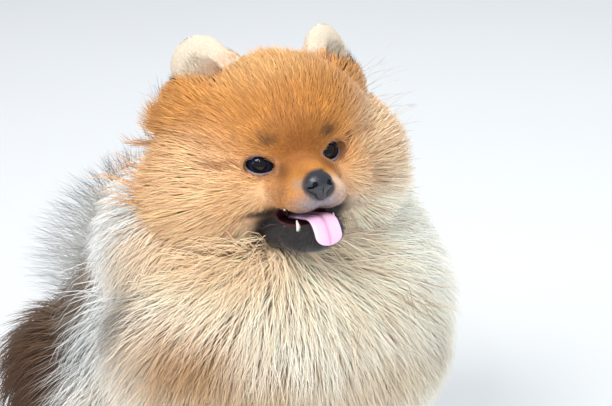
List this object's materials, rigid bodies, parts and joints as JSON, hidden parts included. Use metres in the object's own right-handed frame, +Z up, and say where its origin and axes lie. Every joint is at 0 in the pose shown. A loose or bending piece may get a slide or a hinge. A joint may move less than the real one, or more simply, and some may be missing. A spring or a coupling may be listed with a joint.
{
  "type": "pomeranian dog model",
  "caption": "Life-size still model of a sitting long-coated Pomeranian with its head turned and its tongue out.",
  "frame": {"origin": "on the floor under the middle of the sitting dog's outline", "axes": "+Z up, -Y the way the chest faces, +X the dog's left"},
  "size_m": [0.2302, 0.2796, 0.2941],
  "materials": {
    "orange_coat": "short soft orange fur",
    "cream_coat": "long soft cream and peach fur",
    "sable_coat": "long brown sable fur",
    "pale_coat": "fine pale fur",
    "black_lip": "moist black skin with short dark fur",
    "nose_leather": "moist pebbled black skin",
    "eye": "polished dark brown glass",
    "tongue_flesh": "moist pink flesh"
  },
  "bodies": {
    "root": {"head": "orange_coat", "ear_left": "pale_coat", "ear_right": "pale_coat", "eye_left": "eye", "eye_right": "eye", "nose": "nose_leather", "lower_jaw": "black_lip", "tongue": "tongue_flesh", "neck": "cream_coat", "torso": "sable_coat", "tail": "pale_coat", "foreleg_left": "orange_coat", "foreleg_right": "orange_coat", "hindleg_left": "sable_coat", "hindleg_right": "sable_coat"}
  },
  "joints": []
}
